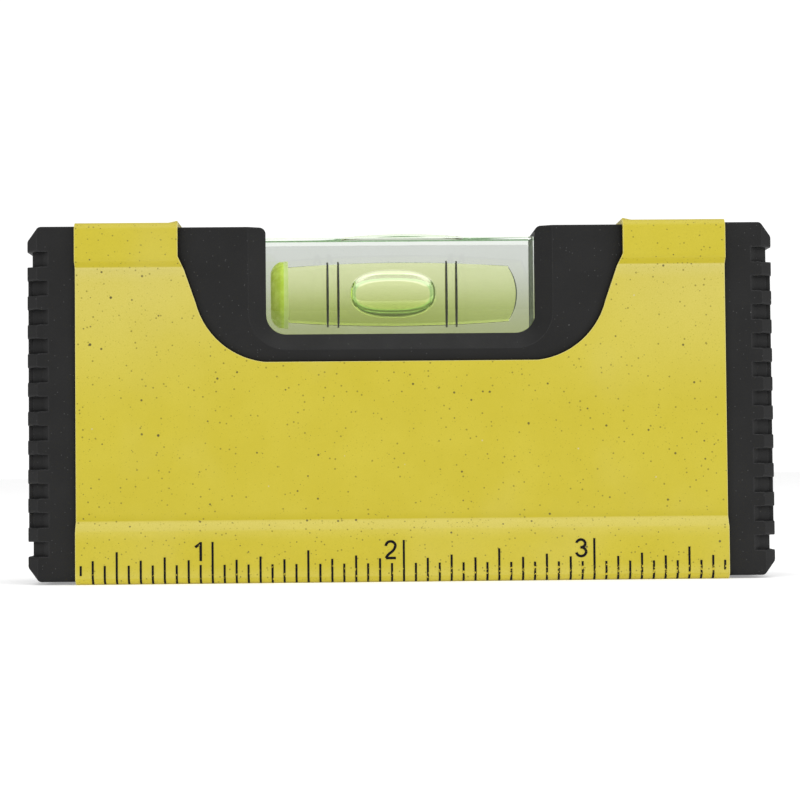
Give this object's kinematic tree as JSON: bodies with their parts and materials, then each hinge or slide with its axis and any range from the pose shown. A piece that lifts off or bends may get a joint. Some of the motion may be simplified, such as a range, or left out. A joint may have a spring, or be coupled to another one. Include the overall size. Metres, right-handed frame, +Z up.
{
  "type": "spirit level",
  "caption": "Pocket spirit level: folded steel jacket round a moulded core, ribbed end caps, a clear level vial in a bevelled window and a magnetic base with printed rules.",
  "frame": {"origin": "middle of the base, on the face that rests on the work", "axes": "+X along the level to the right as its inch scale is read, +Y from the inch scale's face to the back, +Z up"},
  "size_m": [0.1002, 0.02, 0.0485],
  "materials": {
    "jacket_paint": "satin yellow paint with fine dark specks",
    "core_plastic": "fine matte grain",
    "cap_plastic": "fine matte grain",
    "clear_acrylic": "polished clear",
    "plug_resin": "translucent yellow-green",
    "seal_resin": "translucent",
    "ring_ink": "black",
    "vial_fluid": "yellow-green liquid",
    "bubble_air": "clear",
    "magnet_rubber": "matte",
    "print_ink": "printed black"
  },
  "bodies": {
    "level": {"steel_jacket": "jacket_paint", "core_front": "core_plastic", "core_back": "core_plastic", "end_cap_left": "cap_plastic", "end_cap_right": "cap_plastic", "vial_block": "clear_acrylic", "vial_plug": "plug_resin", "plug_seal": "seal_resin", "ring_left_outer": "ring_ink", "ring_left_inner": "ring_ink", "ring_right_inner": "ring_ink", "ring_right_outer": "ring_ink", "vial_liquid": "vial_fluid", "magnetic_strip": "magnet_rubber", "inch_scale": "print_ink", "metric_scale": "print_ink"},
    "bubble": {"bubble": "bubble_air"}
  },
  "joints": [
    {"name": "bubble_travel", "type": "slide", "parent": "level", "child": "bubble", "axis": [1, 0, 0], "range_m": [-0.0079, 0.0095], "stiffness_N_per_m": 0.009, "deforming": ["vial_liquid"]}
  ]
}
